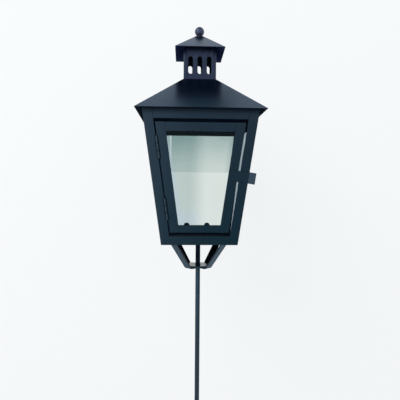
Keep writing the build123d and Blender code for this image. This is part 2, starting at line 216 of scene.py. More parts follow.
class Shader(Graph):
    """The node tree of a material or of the world, with the patterns that the finishes share."""

    def __init__(self, owner: Material | World) -> None:
        """Switch the owner's nodes on and empty them.

        Args:
            owner: The material or the world that the nodes belong to.
        """
        owner.use_nodes = True
        self.owner = owner
        super().__init__(owner.node_tree)

    def spot(self, axis: str) -> Signal:
        """The X, Y or Z of the surface's point, in the part's own frame."""
        place = self.node("ShaderNodeTexCoord", output="Object")
        return self.node("ShaderNodeSeparateXYZ", None, {0: place}, axis)

    def facing(self, axis: str) -> Signal:
        """The X, Y or Z of the direction that the surface faces."""
        normal = self.node("ShaderNodeNewGeometry", output="True Normal")
        return self.node("ShaderNodeSeparateXYZ", None, {0: normal}, axis)

    def behind(self) -> Signal:
        """1 where a surface is seen from behind, and 0 elsewhere."""
        return self.node("ShaderNodeNewGeometry", output="Backfacing")

    def noise(self, scale: float, detail: float = 3.0, stretch: Point = (1.0, 1.0, 1.0)) -> Signal:
        """Add a noise pattern in object coordinates.

        Args:
            scale: Cells per metre.
            detail: Octaves of finer noise.
            stretch: Factors on the coordinates, so that a small one draws the pattern out.

        Returns:
            The pattern, from 0 to 1.
        """
        place = self.node("ShaderNodeTexCoord", output="Object")
        drawn = self.node("ShaderNodeMapping", {"vector_type": "POINT"}, {"Vector": place, "Scale": stretch})
        return self.node("ShaderNodeTexNoise", None, {"Vector": drawn, "Scale": scale, "Detail": detail})

    def ramp(self, value: Signal, low: float, high: float) -> Signal:
        """A smooth step from 0 at the low value to 1 at the high one."""
        return self.node("ShaderNodeMapRange", {"interpolation_type": "SMOOTHSTEP"},
                         {0: value, 1: low, 2: high})

    def fade(self, value: Signal, low: float, high: float) -> Signal:
        """A smooth step from 1 at the low value to 0 at the high one."""
        return 1.0 - self.ramp(value, low, high)

    def size_of(self, value: Signal) -> Signal:
        """A value without its sign."""
        return self.node("ShaderNodeMath", {"operation": "ABSOLUTE"}, {0: value})

    def blend(self, share: Signal, first: Any, second: Any) -> Signal:
        """Mix two colours, with the second one's share from 0 to 1."""
        return self.node("ShaderNodeMix", {"data_type": "RGBA"}, {0: share, 6: first, 7: second}, 2)

    def layer(self, share: Any, under: Signal, over: Signal) -> Signal:
        """Mix two surfaces, with the second one's share from 0 to 1."""
        return self.node("ShaderNodeMixShader", None, {0: share, 1: under, 2: over})

    def solid(self, inputs: dict[str, Any]) -> Signal:
        """A solid surface with the given colour, roughness and other inputs."""
        return self.node("ShaderNodeBsdfPrincipled", None, inputs)

    def clear(self, colour: Colour = WHITE) -> Signal:
        """A surface that lets light of a colour through."""
        return self.node("ShaderNodeBsdfTransparent", None, {"Color": colour})

    def glow(self, colour: Any, strength: Any = 1.0) -> Signal:
        """A surface that gives off light."""
        return self.node("ShaderNodeEmission", None, {"Color": colour, "Strength": strength})

    def rim(self) -> Signal:
        """The mark on the narrow faces of broken edges."""
        return self.node("ShaderNodeAttribute", {"attribute_name": RIM}, output="Fac")

    def relief(self, height: Signal) -> Signal:
        """A normal from a height in metres."""
        return self.node("ShaderNodeBump", None, {"Strength": 1.0, "Distance": 1.0, "Height": height})

    def shown(self) -> Signal:
        """1 for the rays that see a surface, straight, mirrored or through glass, and 0 for others."""
        straight, mirrored, through = (self.node("ShaderNodeLightPath", output=f"Is {kind} Ray")
                                       for kind in ("Camera", "Glossy", "Transmission"))
        return (straight + mirrored + through).clamped()


class Recipe(Graph):
    """A Geometry Nodes tree with named inputs, which ends in Realize Instances and Set Material."""

    def __init__(self, name: str, sizes: Labels = (), count: str = "", patterns: Labels = ()) -> None:
        """Open a tree that takes a geometry, the named inputs and a finish.

        Args:
            name: The tree's name.
            sizes: The labels of its lengths and shares.
            count: The label of its whole number, where it has one.
            patterns: The labels of the objects that it repeats.
        """
        super().__init__(bpy.data.node_groups.new(name, "GeometryNodeTree"))
        sockets = {"Geometry": "NodeSocketGeometry", "Finish": "NodeSocketMaterial"}
        sockets |= dict.fromkeys(sizes, "NodeSocketFloat") | dict.fromkeys(patterns, "NodeSocketObject")
        if count:
            sockets[count] = "NodeSocketInt"
        for label, kind in sockets.items():
            self.tree.interface.new_socket(label, in_out="INPUT", socket_type=kind)
        self.tree.interface.new_socket("Geometry", in_out="OUTPUT", socket_type="NodeSocketGeometry")
        self.source = self.tree.nodes.new("NodeGroupInput")

    def given(self, label: str) -> Signal:
        """One of the tree's named inputs."""
        return Signal(self, self.source.outputs[label])

    def vector(self, **axes: Any) -> Signal:
        """A vector from its X, Y and Z values."""
        return self.node("ShaderNodeCombineXYZ", None, axes)

    def close(self, geometry: Signal) -> None:
        """Realize the geometry, give it the finish and end the tree.

        Args:
            geometry: What the tree has made.
        """
        solid = self.node("GeometryNodeRealizeInstances", None, {"Geometry": geometry})
        painted = self.node("GeometryNodeSetMaterial", None,
                            {"Geometry": solid, "Material": self.given("Finish")})
        self.node("NodeGroupOutput", None, {"Geometry": painted})

    def grow(self, name: str, base: Mesh, values: dict[str, Any]) -> Object:
        """Run the tree on a base mesh and keep the result as a plain mesh.

        Args:
            name: The piece's name.
            base: The points or edges that the tree starts from.
            values: A value for each named input, and the finish.

        Returns:
            An object with the grown mesh and no modifier.
        """
        made = new_object(name, base)
        modifier = made.modifiers.new(name, "NODES")
        modifier.node_group = self.tree
        for item in self.tree.interface.items_tree:
            if item.in_out == "INPUT" and item.name in values:
                modifier[item.identifier] = values[item.name]
        evaluated = made.evaluated_get(bpy.context.evaluated_depsgraph_get())
        grown = bpy.data.meshes.new_from_object(evaluated)
        made.modifiers.clear()
        made.data = grown
        return made


class WeldBeads(Recipe):
    """Short overlapping beads laid along the edges of the base mesh."""

    SIZES = ("Pitch", "Radius", "Unevenness")
    SEGMENTS = 8
    RINGS = 5
    FLATNESS = 0.8

    def __init__(self) -> None:
        """Build the tree."""
        super().__init__("weld_beads", self.SIZES, "Seed")
        path = self.node("GeometryNodeMeshToCurve", None, {"Mesh": self.given("Geometry")})
        steps = self.node("GeometryNodeResampleCurve", {"mode": "LENGTH"},
                          {"Curve": path, "Length": self.given("Pitch")})
        bead = self.node("GeometryNodeMeshUVSphere", None,
                         {"Segments": self.SEGMENTS, "Rings": self.RINGS, "Radius": self.given("Radius")})
        smooth = self.node("GeometryNodeSetShadeSmooth", None, {"Geometry": bead})
        uneven = self.given("Unevenness")
        size = self.node("FunctionNodeRandomValue", {"data_type": "FLOAT"},
                         {2: 1.0 - uneven, 3: 1.0 + uneven, 8: self.given("Seed")}, 1)
        along = self.node("FunctionNodeAlignRotationToVector", {"axis": "Z"},
                          {"Vector": self.node("GeometryNodeInputTangent")})
        self.close(self.node("GeometryNodeInstanceOnPoints", None, {
            "Points": steps,
            "Instance": smooth,
            "Rotation": along,
            "Scale": self.vector(X=size, Y=size, Z=size * self.FLATNESS),
        }))


class ClipRow(Recipe):
    """Glass clips on the points of the base mesh, turned by each point's own turn."""

    def __init__(self) -> None:
        """Build the tree."""
        super().__init__("clip_row", patterns=("Low Clip", "Top Clip"))
        turn = self.node("GeometryNodeInputNamedAttribute", {"data_type": "FLOAT_VECTOR"},
                         {"Name": "turn"})
        rotation = self.node("FunctionNodeEulerToRotation", None, {"Euler": turn})
        at_top = self.node("GeometryNodeInputNamedAttribute", {"data_type": "BOOLEAN"},
                           {"Name": "at_top"})
        at_low = self.node("FunctionNodeBooleanMath", {"operation": "NOT"}, {0: at_top})
        rows = []
        for label, chosen in (("Low Clip", at_low), ("Top Clip", at_top)):
            clip = self.node("GeometryNodeObjectInfo", None, {"Object": self.given(label)}, "Geometry")
            rows.append(self.node("GeometryNodeInstanceOnPoints", None, {
                "Points": self.given("Geometry"),
                "Selection": chosen,
                "Instance": clip,
                "Rotation": rotation,
            }))
        self.close(self.node("GeometryNodeJoinGeometry", None, {"Geometry": rows}))


class VentedShell(Recipe):
    """A square sheet tube with folded corners, and a row of round-ended vents through each wall."""

    SIZES = ("Width", "Sheet", "Fold Radius", "Low", "Top",
             "Vent Width", "Vent Height", "Vent Pitch", "Vent Level")
    ROUND_STEPS = 12
    FOLD_STEPS = 4
    INNER_FOLD = 0.9
    OVERSHOOT = 0.1
    CUT_REACH = 1.5

    def __init__(self) -> None:
        """Build the tree."""
        super().__init__("vented_shell", self.SIZES, "Vents")
        width, sheet, fold = self.given("Width"), self.given("Sheet"), self.given("Fold Radius")
        low, height = self.given("Low"), self.given("Top") - self.given("Low")
        outer = self._prism(self._rounded(width, width, fold, self.FOLD_STEPS), height)
        hollow = width - sheet * 2.0
        hollow_fold = fold - sheet * self.INNER_FOLD
        inner = self._prism(self._rounded(hollow, hollow, hollow_fold, self.FOLD_STEPS),
                            height * (1.0 + 2.0 * self.OVERSHOOT))
        tube = self._raised(self._cut(outer, self._raised(inner, height * -self.OVERSHOOT)), low)
        across = self._vent_row()
        along = self.node("GeometryNodeTransform", None,
                          {"Geometry": across, "Rotation": (0.0, 0.0, pi / 2)})
        self.close(self._cut(self._cut(tube, across), along))

    def _rounded(self, width: Signal, height: Signal, radius: Signal, steps: int) -> Signal:
        """A rectangle with rounded corners, as a curve."""
        outline = self.node("GeometryNodeCurvePrimitiveQuadrilateral", {"mode": "RECTANGLE"},
                            {"Width": width, "Height": height})
        return self.node("GeometryNodeFilletCurve", {"mode": "POLY"},
                         {"Curve": outline, "Count": steps, "Radius": radius, "Limit Radius": True})

    def _prism(self, outline: Signal, height: Signal) -> Signal:
        """Raise an outline to a closed prism.

        Args:
            outline: The outline, as a flat curve.
            height: How far the prism rises from it.

        Returns:
            The prism's mesh.
        """
        face = self.node("GeometryNodeFillCurve", {"mode": "NGONS"}, {"Curve": outline})
        raised = self.node("GeometryNodeExtrudeMesh", {"mode": "FACES"},
                           {"Mesh": face, "Offset Scale": height, "Individual": False})
        base = self.node("GeometryNodeFlipFaces", None, {"Mesh": face})
        both = self.node("GeometryNodeJoinGeometry", None, {"Geometry": [raised, base]})
        return self.node("GeometryNodeMergeByDistance", None,
                         {"Geometry": both, "Distance": WELD_DISTANCE})

    def _raised(self, geometry: Signal, rise: Signal) -> Signal:
        """A geometry, moved up."""
        return self.node("GeometryNodeTransform", None,
                         {"Geometry": geometry, "Translation": self.vector(Z=rise)})

    def _cut(self, solid: Signal, tool: Signal) -> Signal:
        """A solid less a tool."""
        return self.node("GeometryNodeMeshBoolean", {"operation": "DIFFERENCE", "solver": "EXACT"},
                         {"Mesh 1": solid, "Mesh 2": tool})

    def _vent_row(self) -> Signal:
        """Build the row of cutters that opens the vents of the front and rear walls.

        Returns:
            The cutters' mesh.
        """
        vent_width, pitch, count = self.given("Vent Width"), self.given("Vent Pitch"), self.given("Vents")
        slot = self._rounded(vent_width, self.given("Vent Height"), vent_width * 0.5, self.ROUND_STEPS)
        reach = self.given("Width") * self.CUT_REACH
        cutter = self.node("GeometryNodeTransform", None, {
            "Geometry": self._prism(slot, reach),
            "Translation": self.vector(Y=reach * 0.5, Z=self.given("Vent Level")),
            "Rotation": (pi / 2, 0.0, 0.0),
        })
        line = self.node("GeometryNodeMeshLine", {"mode": "OFFSET"}, {
            "Count": count,
            "Start Location": self.vector(X=(count - 1.0) * pitch * -0.5),
            "Offset": self.vector(X=pitch),
        })
        row = self.node("GeometryNodeInstanceOnPoints", None, {"Points": line, "Instance": cutter})
        return self.node("GeometryNodeRealizeInstances", None, {"Geometry": row})


class Finish:
    """A finish that is built from nodes."""

    name: str

    def material(self) -> Material:
        """Build the finish as a new material.

        Returns:
            The material.
        """
        shader = Shader(bpy.data.materials.new(self.name))
        shader.node("ShaderNodeOutputMaterial", None, {"Surface": self.surface(shader)})
        return shader.owner

    def surface(self, shader: Shader) -> Signal:
        """The finish's look, which each finish builds in its own way."""
        raise NotImplementedError


@dataclass(frozen=True)
class MattBlack(Finish):
    """Dull dark steel: painted shade on the undersides of the sheets, painted light under the cap, soot on
    the inside, and the floor.
    """

    name: str = "sooted_steel"
    deep: Colour = (0.0090, 0.0220, 0.0460)
    light: Colour = (0.0140, 0.0320, 0.0640)
    roughness: float = 0.88
    gloss: float = 0.05
    cloud_scale: float = 45.0
    cloud_reach: Span = (0.3, 0.7)

    def surface(self, shader: Shader) -> Signal:
        """Cloudy dull coat with hardly any gloss.

        Args:
            shader: The finish's empty node tree.

        Returns:
            The dull coat.
        """
        cloud = shader.ramp(shader.noise(self.cloud_scale), *self.cloud_reach)
        return shader.solid({
            "Base Color": shader.blend(cloud, self.deep, self.light),
            "Roughness": self.roughness,
            "Specular IOR Level": self.gloss,
        })


@dataclass(frozen=True)
class PowderCoat(Finish):
    """Satin black powder coat: a fine orange peel, a cloudy gloss, and a dull layer of grime in the seams
    and of painted shade where this coat names it.
    """

    name: str = "satin_black_coat"
    deep: Colour = (0.0011, 0.0032, 0.0105)
    light: Colour = (0.0020, 0.0052, 0.0145)
    grime_and_shade: Colour = (0.0015, 0.0085, 0.0200)
    grime_and_shade_roughness: float = 0.9
    grime_and_shade_gloss: float = 0.05
    gloss_tint: Colour = (0.66, 0.88, 1.0)
    roughness: float = 0.22
    cloudiness: float = 0.08
    cloud_scale: float = 28.0
    cloud_reach: Span = (0.25, 0.75)
    peel_scale: float = 900.0
    peel_depth: float = 3.0e-6
    sway_scale: float = 14.0
    sway_depth: float = 2.0e-4
    seam_grime: float = 0.85
    # Painted shade under the eave: the coat turns dull and dark towards the eave's level.
    eave_painted_shade: float = 0.0
    eave_reach: Span = (0.7405, 0.7515)
    # Up-facing faces turn dull and dark.
    ledge_darkening: float = 0.0
    ledge_reach: Span = (0.80, 0.95)
    # Painted shade on the flanks of the hinge barrels, where they turn away from the front.
    flank_painted_shade: float = 0.0
    flank_reach: Span = (-0.84, -0.66)
    hinge_levels: Span = (0.601, 0.694)
    # Painted shade in lines beside the hinge barrels.
    barrel_painted_shade: float = 0.0
    barrel_foot: float = 0.0283
    barrel_reach: Span = (0.0026, 0.0031)
    barrel_ends: Span = (0.0170, 0.0178)
    front_reach: Span = (-0.01, 0.0)
    joint_grime: float = 0.0
    joint_offset: float = 0.0056
    joint_reach: Span = (0.0006, 0.0010)

    def surface(self, shader: Shader) -> Signal:
        """Satin coat under dull grime and painted shade.

        Args:
            shader: The finish's empty node tree.

        Returns:
            The coat.
        """
        cloud = shader.noise(self.cloud_scale)
        peel = shader.noise(self.peel_scale, detail=1.0) * self.peel_depth
        sway = shader.noise(self.sway_scale, detail=0.0) * self.sway_depth
        satin = shader.solid({
            "Base Color": shader.blend(shader.ramp(cloud, *self.cloud_reach), self.deep, self.light),
            "Roughness": (cloud - NOISE_MIDDLE) * self.cloudiness + self.roughness,
            "Specular Tint": self.gloss_tint,
            "Normal": shader.relief(peel + sway),
        })
        # The dull layer is grime in the seams, and painted shade under the eave and round the hinge barrels.
        dull = shader.solid({
            "Base Color": self.grime_and_shade,
            "Roughness": self.grime_and_shade_roughness,
            "Specular IOR Level": self.grime_and_shade_gloss,
        })
        return shader.layer(self._dirt_and_shade(shader), satin, dull)

    def _dirt_and_shade(self, shader: Shader) -> Signal:
        """Find where the dull layer lies: grime in the seams and joints, and painted shade and darker
        up-facing faces in the places that this coat names.

        Args:
            shader: The finish's node tree.

        Returns:
            The share of grime and painted shade, from 0 to 1.
        """
        dirt_and_shade = shader.rim() * self.seam_grime
        if self.eave_painted_shade:
            dirt_and_shade = dirt_and_shade + shader.ramp(shader.spot("Z"), *self.eave_reach) * self.eave_painted_shade
        if self.ledge_darkening:
            dirt_and_shade = dirt_and_shade + shader.ramp(shader.facing("Z"), *self.ledge_reach) * self.ledge_darkening
        if self.flank_painted_shade:
            dirt_and_shade = dirt_and_shade + shader.ramp(shader.facing("Y"), *self.flank_reach) * self.flank_painted_shade
        if self.barrel_painted_shade:
            dirt_and_shade = dirt_and_shade + self._barrel_lines(shader) * self.barrel_painted_shade
        if self.joint_grime:
            dirt_and_shade = dirt_and_shade + self._joints(shader) * self.joint_grime
        return dirt_and_shade.clamped()

    def _barrel_lines(self, shader: Shader) -> Signal:
        """Find the lines of painted shade beside the hinge barrels, along the slanted gap at the front.

        Args:
            shader: The finish's node tree.

        Returns:
            1 on the lines and 0 elsewhere.
        """
        across, depth, height = (shader.spot(axis) for axis in "XYZ")
        beside = shader.size_of(across + height * EDGE_LEAN - self.barrel_foot)
        line = shader.fade(beside, *self.barrel_reach) * shader.fade(depth, *self.front_reach)
        low, high = (shader.fade(shader.size_of(height - level), *self.barrel_ends)
                     for level in self.hinge_levels)
        return line * (low + high)

    def _joints(self, shader: Shader) -> Signal:
        """Find the gaps between the knuckles of the two hinges.

        Args:
            shader: The finish's node tree.

        Returns:
            1 in the gaps and 0 elsewhere.
        """
        height = shader.spot("Z")
        low, high = (shader.size_of(shader.size_of(height - level) - self.joint_offset)
                     for level in self.hinge_levels)
        return shader.fade(low, *self.joint_reach) + shader.fade(high, *self.joint_reach)


@dataclass(frozen=True)
class PlatedSteel(Finish):
    """Bright zinc plate with a faint spangle."""

    name: str = "bright_zinc"
    dull: Colour = (0.42, 0.44, 0.46)
    bright: Colour = (0.66, 0.68, 0.70)
    roughness: float = 0.30
    spangle_scale: float = 650.0
    spangle_reach: Span = (0.3, 0.7)
    spangle_roughness: float = 0.25
    grain_scale: float = 1500.0
    grain_depth: float = 2.0e-6

    def surface(self, shader: Shader) -> Signal:
        """Spangled metal with a fine grain.

        Args:
            shader: The finish's empty node tree.

        Returns:
            The plate.
        """
        spangle = shader.noise(self.spangle_scale, detail=2.0)
        grain = shader.noise(self.grain_scale, detail=2.0)
        return shader.solid({
            "Base Color": shader.blend(shader.ramp(spangle, *self.spangle_reach), self.dull, self.bright),
            "Metallic": 1.0,
            "Roughness": spangle * self.spangle_roughness + self.roughness,
            "Normal": shader.relief(grain * self.grain_depth),
        })


@dataclass(frozen=True)
class FilmedGlass(Finish):
    """Faintly green window glass with a bluer band and a smoky film, which lie where each pane says; the
    film's pattern also paints the shade of the wall seen through the glass.
    """

    name: str
    film: float = 0.0
    film_reach: Span = (0.655, 0.730)
    left_film: float = 0.0
    left_reach: Span = (-0.020, 0.013)
    shade_step_film: float = 0.0
    shade_step_reach: Span = (0.6560, 0.6580)
    right_film: float = 0.0
    right_reach: Span = (-0.0535, -0.0460)
    # A bluer clear tint along the left edge and in the lower left part.
    blue_band: float = 0.0
    blue_band_edge: Span = (0.0455, 0.0515)
    blue_band_low: Span = (0.582, 0.612)
    blue_band_tint: Colour = (0.935, 0.957, 1.0)
    highlight_line: float = 0.0
    highlight_line_place: float = -0.0447
    highlight_line_inner: float = 0.0005
    highlight_line_outer: float = 0.0010
    margin: float = 0.22
    slant_film: float = 0.0
    slant_reach: Span = (0.6, 0.95)
    tint: Colour = (0.945, 0.960, 0.946)
    smoke: Colour = (0.352, 0.503, 0.503)
    shade_and_soot: Colour = (0.022, 0.054, 0.066)
    dry_soot: Colour = (0.038, 0.074, 0.088)
    soot_share: float = 0.08
    soot_roughness: float = 0.85
    soot_gloss: float = 0.1
    gloss: float = 0.25
    roughness: float = 0.03
    refraction: float = 1.5
    smear_scale: float = 60.0
    smear_stretch: Point = (1.0, 1.0, 0.18)
    smear_base: float = 0.88
    smear_swing: float = 0.24

    def surface(self, shader: Shader) -> Signal:
        """Clear glass under its film, with a shine on the outside.

        Args:
            shader: The finish's empty node tree.

        Returns:
            The glass.
        """
        smears = shader.noise(self.smear_scale, stretch=self.smear_stretch)
        glass = shader.clear(self.tint)
        if self.blue_band:
            glass = shader.layer(self._blue_band_share(shader), glass, shader.clear(self.blue_band_tint))
        dusty = shader.solid({
            "Base Color": shader.blend(smears, self.shade_and_soot, self.dry_soot),
            "Roughness": self.soot_roughness,
            "Specular IOR Level": self.soot_gloss,
        })
        film = shader.layer(self.soot_share, shader.clear(self.smoke), dusty)
        filmed = shader.layer(self._cover(shader, smears), glass, film)
        shine = shader.node("ShaderNodeBsdfGlossy", None, {"Color": WHITE, "Roughness": self.roughness})
        fresnel = shader.node("ShaderNodeFresnel", None, {"IOR": self.refraction})
        return shader.layer(fresnel * (1.0 - shader.behind()) * self.gloss, filmed, shine)

    def _blue_band_share(self, shader: Shader) -> Signal:
        """Find the bluer band along the left edge and in the lower left part.

        Args:
            shader: The finish's node tree.

        Returns:
            The share of the bluer band, from 0 to 1.
        """
        across, height = shader.spot("X"), shader.spot("Z")
        edge = shader.fade(across + height * EDGE_LEAN, *self.blue_band_edge)
        low = shader.fade(height, *self.blue_band_low) * shader.fade(across, *self.left_reach)
        return ((edge + low) * self.blue_band).clamped()

    def _cover(self, shader: Shader, smears: Signal) -> Signal:
        """Find how thick the film is: more upwards and to both sides, with a clear highlight line and a
        thinner margin; this pattern paints the shade of the wall seen through the glass over a smoky film.

        Args:
            shader: The finish's node tree.
            smears: The pattern that makes the film uneven.

        Returns:
            The share of film, from 0 to 1.
        """
        across, height = shader.spot("X"), shader.spot("Z")
        rise = shader.ramp(height, *self.film_reach)
        left = shader.fade(across, *self.left_reach)
        shade_step = shader.ramp(height, *self.shade_step_reach)
        right = shader.ramp(across - height * EDGE_LEAN, *self.right_reach) * shade_step
        # Painted shade: the film thickens to the top, to the left and above a painted shadow edge, and thins
        # along a painted highlight line.
        cover = rise * self.film + left * self.left_film + shade_step * self.shade_step_film + right * self.right_film
        if self.highlight_line:
            past = across - self.highlight_line_place
            line = shader.fade(shader.size_of(past), self.highlight_line_inner, self.highlight_line_outer)
            beside = shader.fade(past, -self.highlight_line_outer, self.highlight_line_outer)
            cover = cover * (1.0 - line * rise * self.highlight_line) * (1.0 - beside * self.margin)
        if self.slant_film:
            slant = shader.node("ShaderNodeLayerWeight", output="Facing")
            cover = cover + shader.ramp(slant, *self.slant_reach) * self.slant_film
        return (cover * (smears * self.smear_swing + self.smear_base)).clamped()


@dataclass(frozen=True)
class StagePaper(Finish):
    """Plain pale paper that shows white to the camera, takes a shadow and is clear from behind."""

    name: str
    colour: Colour
    matt: float
    level: float

    def surface(self, shader: Shader) -> Signal:
        """Matt paper with a glow for the rays that see it.

        Args:
            shader: The finish's empty node tree.

        Returns:
            The paper.
        """
        matt = shader.node("ShaderNodeBsdfDiffuse", None,
                           {"Color": tuple(self.matt * part for part in self.colour)})
        light = shader.glow(self.colour, shader.shown() * self.level)
        paper = shader.node("ShaderNodeAddShader", None, {0: matt, 1: light})
        return shader.layer(shader.behind(), paper, shader.clear())


@dataclass(frozen=True)
class PlainCard(Finish):
    """A card of one colour that the lantern mirrors."""

    name: str
    colour: Colour

    def surface(self, shader: Shader) -> Signal:
        """One even glow."""
        return shader.glow(self.colour)


@dataclass(frozen=True)
class GradedCard(Finish):
    """A card that the lantern mirrors: one colour below, one above and one towards the left."""

    name: str = "front_card"
    low: Colour = (0.17, 0.60, 0.72)
    high: Colour = (0.53, 0.74, 0.88)
    side: Colour = (1.55, 1.90, 2.25)
    rise: Span = (-0.70, 0.70)
    turn: Span = (-0.60, -0.05)

    def surface(self, shader: Shader) -> Signal:
        """A glow that changes upwards and towards the left.

        Args:
            shader: The finish's empty node tree.

        Returns:
            The card.
        """
        upper = shader.ramp(shader.spot("Z"), *self.rise)
        left = shader.fade(shader.spot("X"), *self.turn)
        return shader.glow(shader.blend(left, shader.blend(upper, self.low, self.high), self.side))


@dataclass(frozen=True)
class DarkBand(Finish):
    """The card behind the roof that the roof and the cap mirror: pale, with a dark middle."""

    name: str = "roof_card"
    low: Colour = (0.97, 1.09, 1.34)
    pale: Colour = (0.79, 1.01, 1.30)
    dark: Colour = (0.12, 0.25, 0.36)
    middle: float = 0.042
    reach: Span = (0.050, 0.140)
    foot: Span = (1.28, 1.38)

    def surface(self, shader: Shader) -> Signal:
        """A glow with an upright dark band above its foot.

        Args:
            shader: The finish's empty node tree.

        Returns:
            The card.
        """
        far = shader.size_of(shader.spot("X") - self.middle)
        upper = shader.ramp(shader.spot("Z"), *self.foot)
        band = shader.fade(far, *self.reach) * upper
        return shader.glow(shader.blend(band, shader.blend(upper, self.low, self.pale), self.dark))


def new_object(name: str, data: ID) -> Object:
    """Put a mesh, a lamp or a camera in the scene as an object at the origin.

    Args:
        name: The object's name.
        data: What it holds.

    Returns:
        The object.
    """
    made = bpy.data.objects.new(name, data)
    bpy.context.scene.collection.objects.link(made)
    return made


def mesh_of(name: str, shape: BMesh, finish: Material | None = None) -> Mesh:
    """Turn a shape into a mesh and free it.

    Args:
        name: The mesh's name.
        shape: The shape.
        finish: Its material, where it has one.

    Returns:
        The mesh.
    """
    mesh = bpy.data.meshes.new(name)
    shape.to_mesh(mesh)
    shape.free()
    if finish is not None:
        mesh.materials.append(finish)
    return mesh


def welded(mesh: Mesh) -> BMesh:
    """Copy a mesh, merge its doubled points and dissolve the edges inside its flat faces.

    Args:
        mesh: The mesh, which stays as it is.

    Returns:
        The copy, as a shape.
    """
    shape = bmesh.new()
    shape.from_mesh(mesh)
    bmesh.ops.remove_doubles(shape, verts=shape.verts, dist=WELD_DISTANCE)
    bmesh.ops.dissolve_limit(shape, angle_limit=FLAT_ANGLE, verts=shape.verts, edges=shape.edges)
    return shape


def break_edges(shape: BMesh, width: float) -> None:
    """Round a shape's sharp edges over, mark the new faces as rims and smooth the curved faces.

    Args:
        shape: The shape, with welded points.
        width: How far the rounding reaches on each side of an edge.
    """
    sharp = []
    for face in shape.faces:
        face.smooth = False
    for edge in shape.edges:
        angle = edge.calc_face_angle(0.0)
        if angle > SHARP_ANGLE:
            sharp.append(edge)
        elif angle > FLAT_ANGLE:
            for face in edge.link_faces:
                face.smooth = True
    rim = shape.faces.layers.float.new(RIM)
    rounded = bmesh.ops.bevel(
        shape,
        geom=sharp,
        offset=width,
        offset_type="OFFSET",
        segments=2,
        profile=0.5,
        affect="EDGES",
        clamp_overlap=True,
    )
    for face in rounded["faces"]:
        face[rim] = 1.0
        face.smooth = False


class Assembly:
    """What every sub-assembly does with its finished pieces."""

    def seat(self, piece: Object, *nodes: str, body: Body = Body.LANTERN, slot: Slot = Slot.STEEL) -> Object:
        """Fix a piece to its body.

        Args:
            piece: The piece, in place.
            nodes: The CAD nodes that it stands for.
            body: The body that it moves with.
            slot: The record's material slot; not used.

        Returns:
            The piece.
        """
        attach(piece, body.value)
        if nodes:
            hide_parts(*nodes)
        LOG.info("%s rides on %s with %d faces", piece.name, body.value, len(piece.data.polygons))
        return piece

    def coat(
        self,
        node: str,
        edge: float,
        finish: Material,
        body: Body = Body.LANTERN,
        slot: Slot = Slot.STEEL,
    ) -> Object:
        """Copy a CAD node with its edges broken and give it a finish.

        Args:
            node: The node's name.
            edge: The width of the broken edges.
            finish: The material.
            body: The body that the node belongs to.
            slot: The record's material slot.

        Returns:
            The dressed piece.
        """
        shape = welded(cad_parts[node].data)
        break_edges(shape, edge)
        name = f"dressed_{node}"
        return self.seat(new_object(name, mesh_of(name, shape, finish)), node, body=body, slot=slot)

    def shade_and_soot(self, piece: Object, dull: Material) -> None:
        """Give the dull finish to the faces of a piece that look down, as painted shade, and to those that
        look towards the axis, as soot.

        Args:
            piece: The piece, with its own finish.
            dull: The finish of those faces.
        """
        piece.data.materials.append(dull)
        for face in piece.data.polygons:
            outwards = Vector((face.center.x, face.center.y, 0)).normalized()
            turned = min(face.normal.z, face.normal.dot(outwards))
            face.material_index = int(turned < INWARD)


@dataclass
class BodyForm:
    """The form of the square body, which widens upwards: where its faces stand."""

    low_width: float = 0.1200
    eave_width: float = 0.1752
    eave_height: float = 0.2066
    strip: float = 0.0015

    def __post_init__(self) -> None:
        """Work out the taper, the lean of the faces and the level of the lower edge."""
        self.taper = (self.eave_width - self.low_width) / 2 / self.eave_height
        self.lean = atan(self.taper)
        self.low_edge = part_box("bottom_rail_front")[0].z

    def frame_at(self, height: float, across: float, depth: float, side: Side) -> Matrix:
        """Work out the frame of a point behind the outer face of a side.

        Args:
            height: The point's height above the lower edge.
            across: Its place along the side.
            depth: How far it lies behind the outer face.
            side: The side of the body.

        Returns:
            A matrix with x across the side, y up the slope and z outwards.
        """
        half = self.low_width / 2 + self.taper * height
        face = Matrix.Translation((across, -half, self.low_edge + height))
        face @= Matrix.Rotation(pi / 2 + self.lean, 4, "X")
        return Matrix.Rotation(radians(side.value), 4, "Z") @ face @ Matrix.Translation((0, 0, -depth))


